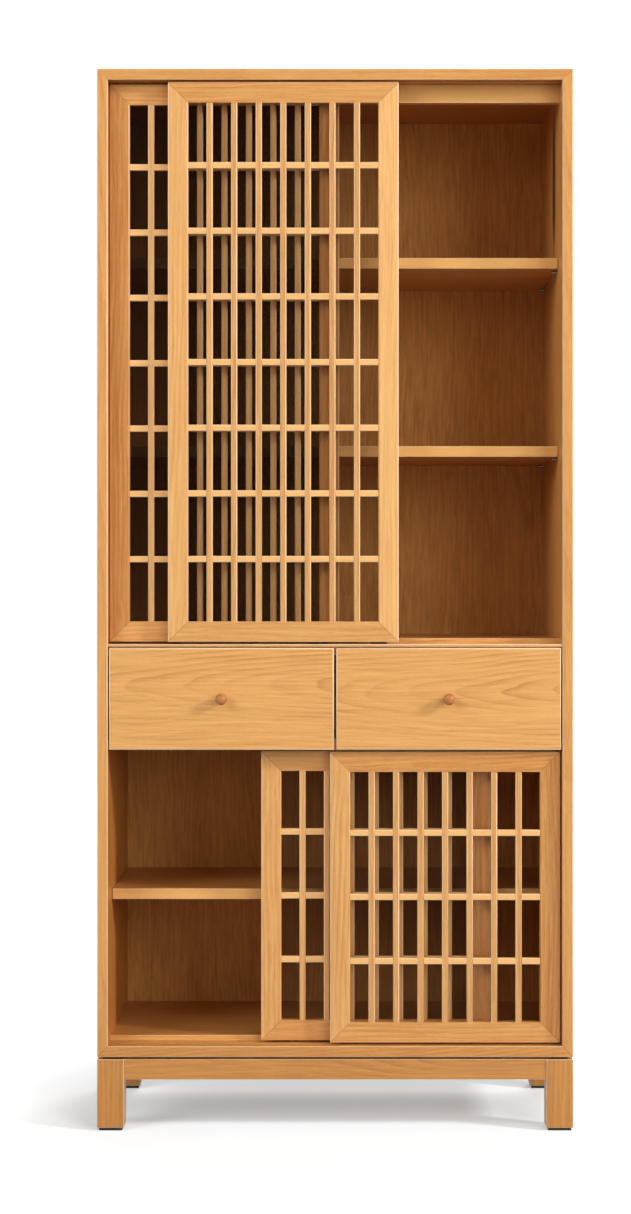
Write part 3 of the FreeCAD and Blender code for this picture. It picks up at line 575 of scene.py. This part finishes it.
def case():
    board("top_panel", "X", 0.9 * MM, ("-Y", "+Y", "+Z"), ARCHED, inside=("-Z",), tones_and_shading=(0.15,))
    board("bottom_panel", "X", 0.9 * MM, ("-Y", "+Y", "-Z"), tones_and_shading=(0.28,))
    board("side_panel_left", "Z", 1.8 * MM, ("-Y", "+Y", "-X"), ARCHED, inside=("+X",),
          inside_shading=LEFT_INSIDE_SHADING)
    board("side_panel_right", "Z", 1.8 * MM, ("-Y", "+Y", "+X"), ARCHED, "marked_wood",
          inside=("-X",), tones_and_shading=(0.12,), inside_shading=RIGHT_INSIDE_SHADING)
    board("back_panel_upper", "Z", 0.3 * MM, ("+Y",), ARCHED)
    board("back_panel_lower", "Z", 0.3 * MM, ("+Y",), ARCHED)
    board("divider_above_drawers", "X", 1.2 * MM, ("-Y",), tones_and_shading=(-0.15,))
    board("divider_below_drawers", "X", 0.8 * MM, ("-Y",), inside=("-Z",))
    board("drawer_partition", "Y", 0.4 * MM, ("-Y",))
    # The head rail is paler, in a paler finish, as painted light: it lies in the shade of the top
    # panel
    board("head_rail", "X", 0.7 * MM, ("-Y",), ARCHED, "shelf_wood", ("-Z", "+Y"), (-0.42,))
    board("floor_boards", "X", 0.6 * MM, ("-Y",), inside=("+Z",))
    # The shelves' front edges are paler, painted light, and their faces inside darker, painted
    # shade
    for shelf, inside_shading in SHELF_INSIDE_SHADING.items():
        board(shelf, "X", 0.8 * MM, EVERY_SIDE, inside=EVERY_SIDE, tones_and_shading=(-0.30,),
              inside_shading=inside_shading)
    board("drawer_runners", "Y", 0.4 * MM, ("-Y",))


def leg_frame():
    board("legs", "Z", 0.9 * MM, EVERY_SIDE)
    board("base_rails_long", "X", 0.5 * MM, heart=ARCHED)
    board("base_rails_side", "Y", 0.5 * MM, ("-X", "+X"), ARCHED)
    pads = eased("foot_pads", 1.4 * MM, EVERY_SIDE)
    finished_piece(pads, "foot_pads_rounded", "foot_pads")


# The tones of each door's left and right stile, its bottom and top rail, and its uprights, and of
# the crossbars, with painted shade on boards that others shade, such as the rear doors' stiles and
# the lower front door's right stile and top rail, and painted light on the paler ones
STILE_TONES_AND_SHADING = {"upper_front_door": (0.05, -0.05), "upper_rear_door": (0.56, 0.62),
               "lower_front_door": (0.16, 0.56), "lower_rear_door": (0.16, 0.60)}
RAIL_TONES_AND_SHADING = {"upper_front_door": (0.34, 0.40), "upper_rear_door": (0.36, 0.36),
              "lower_front_door": (0.30, 0.54), "lower_rear_door": (0.36, 0.36)}
UPRIGHT_TONES_AND_SHADING = {"upper_front_door": 0.32, "upper_rear_door": 0.05,
                 "lower_front_door": 0.32, "lower_rear_door": 0.05}
CROSSBAR_TONE_AND_SHADING = -0.28


def door(name):
    board(f"{name}_stiles", "Z", 1.8 * MM, tones_and_shading=STILE_TONES_AND_SHADING[name])
    board(f"{name}_rails", "X", 1.0 * MM, tones_and_shading=RAIL_TONES_AND_SHADING[name])
    board(f"{name}_uprights", "Z", 1.8 * MM, ("-Y",), tones_and_shading=(UPRIGHT_TONES_AND_SHADING[name],), axes="Z")
    board(f"{name}_crossbars", "X", 1.2 * MM, ("-Y",), tones_and_shading=(CROSSBAR_TONE_AND_SHADING,), axes="X")


# Half sections of a knob and of its tenon, in millimetres: how far out of the drawer front, and
# the radius there
KNOB_SECTION = ((0.0, 6.3), (0.7, 6.3), (1.3, 5.5), (3.5, 4.7), (6.0, 4.6), (8.2, 5.6), (8.9, 7.3),
                (10.3, 8.8), (12.6, 9.65), (15.2, 9.7), (17.8, 8.9), (20.0, 7.0), (21.4, 4.2),
                (21.9, 1.6), (22.0, 0.0))
TENON_SECTION = ((-12.9, 0.0), (-12.9, 4.0), (0.0, 4.0))
KNOB_STEPS = 48


def knob(drawer):
    """A turned knob: a foot, a waisted neck and a domed head, on its tenon."""
    node = f"{drawer}_knob"
    low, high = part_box(node)
    across, up = (low.x + high.x) / 2, (low.z + high.z) / 2
    face = low.y + KNOB_SECTION[-1][0] * MM
    mesh = bmesh.new()
    section = [mesh.verts.new((across + radius * MM, face - out * MM, up))
               for out, radius in TENON_SECTION + KNOB_SECTION]
    lines = [mesh.edges.new(pair) for pair in zip(section, section[1:])]
    bmesh.ops.spin(mesh, geom=section + lines, cent=(across, face, up), axis=(0, 1, 0),
                   angle=math.tau, steps=KNOB_STEPS, use_merge=True)
    bmesh.ops.remove_doubles(mesh, verts=mesh.verts, dist=MERGING)
    bmesh.ops.recalc_face_normals(mesh, faces=mesh.faces)
    lay_grain(mesh, node, "Y", KNOB_HEART)
    for face in mesh.faces:
        face.smooth = True
    finished_piece(mesh, f"{node}_turned", node)


def drawer(name):
    board(f"{name}_front", "X", 2.2 * MM, ("-Y",), DRAWER_HEART)
    board(f"{name}_box_sides", "Y", 0.6 * MM, ("+Z", "+Y"))
    board(f"{name}_box_back", "X", 0.6 * MM, ("+Z",))
    board(f"{name}_box_bottom", "X", 0.3 * MM, ("+Y",), ARCHED)
    knob(name)


case()
leg_frame()
for name in ("upper_front_door", "upper_rear_door", "lower_front_door", "lower_rear_door"):
    door(name)
for name in ("drawer_left", "drawer_right"):
    drawer(name)

# The model's own pieces that stay, in their finishes. The rear panes look darker in the photo
# The rear panes' deeper tints are painted shade on the inside behind them
OWN_FINISHES = {"upper_rear_door_glass": "deeply_tinted_glass",
                "lower_rear_door_glass": "more_tinted_glass",
                "lower_front_door_glass": "faintly_tinted_glass", "glass_beads": "bead_wood"}
for name, node in frame["nodes"].items():
    if not node.hide_render:
        finish = next((own for ending, own in OWN_FINISHES.items() if name.endswith(ending)),
                      slots[name])
        node.data.materials.clear()
        node.data.materials.append(finishes[finish])
        if name.endswith("_glass"):
            node.visible_shadow = False


# Studio

FLOOR_HALF_SIZE = 12.0
FLOOR_BOUNCE = (0.35, 0.35, 0.35, 1)
FLOOR_SEEN = (0.88, 0.93, 0.95, 1)

# Where it is seen, the floor shines by itself: by the lift as far as the near distance, and fully
# from the far distance on
FLOOR_NEAR = 0.45
FLOOR_FAR = 1.1
FLOOR_LIFT = 0.35

SURROUND_LIGHT = 0.03
SOFTBOX_DISTANCE = 8.0
CABINET_MIDDLE = (cad_box[0] + cad_box[1]) / 2


def directly_seen(finish):
    """One on a ray that comes from the camera, also by way of a pane or a gloss, else zero."""
    path = finish.node("LightPath", {}).outputs
    clear = finish.math("MAXIMUM", path["Is Camera Ray"],
                        finish.math("MAXIMUM", path["Is Glossy Ray"],
                                    path["Is Transmission Ray"]))
    return finish.math("MULTIPLY", clear, finish.math("LESS_THAN", path["Diffuse Depth"], 0.5))


def stage_floor():
    """A pale floor that stays white away from the cabinet and keeps its shadow."""
    mesh = bmesh.new()
    bmesh.ops.create_grid(mesh, x_segments=1, y_segments=1, size=FLOOR_HALF_SIZE)
    floor = new_object(mesh, "studio_floor")
    finish = Finish("studio_floor")
    direct = directly_seen(finish)
    here = finish.node("TexCoord", {}).outputs["Object"]
    distance = finish.node("VectorMath", {0: here}, operation="LENGTH").outputs["Value"]
    lift = finish.node("MapRange", {"Value": distance, "From Min": FLOOR_NEAR,
                                    "From Max": FLOOR_FAR, "To Min": FLOOR_LIFT, "To Max": 1.0})
    finish.set(base_color=finish.blend(direct, FLOOR_BOUNCE, FLOOR_SEEN), roughness=1.0,
               specular_ior_level=0.0, emission_color=(1, 1, 1, 1),
               emission_strength=finish.math("MULTIPLY", direct, lift.outputs["Result"]))
    floor.data.materials.append(finish.material)


def surround():
    """White where it is seen, and a dimmer light from all round on the cabinet."""
    world = bpy.data.worlds.new("surround")
    bpy.context.scene.world = world
    world.use_nodes = True
    sky = NodeTree(world.node_tree)
    strength = sky.node("MapRange", {"Value": directly_seen(sky), "To Min": SURROUND_LIGHT,
                                     "To Max": 1.0})
    background = world.node_tree.nodes["Background"]
    background.inputs["Color"].default_value = (1, 1, 1, 1)
    sky.feed(background.inputs["Strength"], strength.outputs["Result"])


def softbox(name, azimuth, elevation, size, level):
    """A square softbox aimed at the cabinet's middle.

    The azimuth goes round to the right from the front. The level is the brightness that it gives
    a white card held square to it at the cabinet.
    """
    azimuth, elevation = math.radians(azimuth), math.radians(elevation)
    away = Vector((math.sin(azimuth) * math.cos(elevation),
                   -math.cos(azimuth) * math.cos(elevation), math.sin(elevation)))
    lamp = bpy.data.lights.new(name, "AREA")
    lamp.size = size
    lamp.energy = level * math.pi ** 2 * SOFTBOX_DISTANCE ** 2
    softbox = bpy.data.objects.new(name, lamp)
    softbox.location = CABINET_MIDDLE + away * SOFTBOX_DISTANCE
    softbox.rotation_euler = away.to_track_quat("Z", "Y").to_euler()
    bpy.context.scene.collection.objects.link(softbox)


stage_floor()
surround()
softbox("key_softbox", azimuth=65, elevation=22, size=1.2, level=0.62)
softbox("right_softbox", azimuth=33, elevation=13, size=4.0, level=0.30)
softbox("left_softbox", azimuth=-48, elevation=22, size=4.5, level=0.50)
softbox("top_softbox", azimuth=20, elevation=50, size=3.0, level=0.10)
softbox("back_softbox", azimuth=165, elevation=35, size=4.0, level=0.50)

# Camera, from where things stand in the 631 by 1214 photograph
PHOTO_WIDTH = 631
PHOTO_HEIGHT = 1214
FOCAL_LENGTH_PIXELS = 2375.6
CABINET_PIXEL_X = 335.1
HORIZON_PIXEL_Y = 585
CAMERA_DISTANCE = 3.990
CAMERA_HEIGHT = 0.917

view = bpy.data.cameras.new("camera")
view.lens = FOCAL_LENGTH_PIXELS / PHOTO_HEIGHT * view.sensor_width
view.shift_x = (PHOTO_WIDTH / 2 - CABINET_PIXEL_X) / PHOTO_HEIGHT
view.shift_y = (HORIZON_PIXEL_Y - PHOTO_HEIGHT / 2) / PHOTO_HEIGHT
camera = bpy.data.objects.new("camera", view)
camera.location = (0, case_front - CAMERA_DISTANCE, CAMERA_HEIGHT)
camera.rotation_euler = (math.pi / 2, 0, 0)
bpy.context.scene.collection.objects.link(camera)
bpy.context.scene.camera = camera
bpy.context.scene.view_settings.view_transform = "Standard"
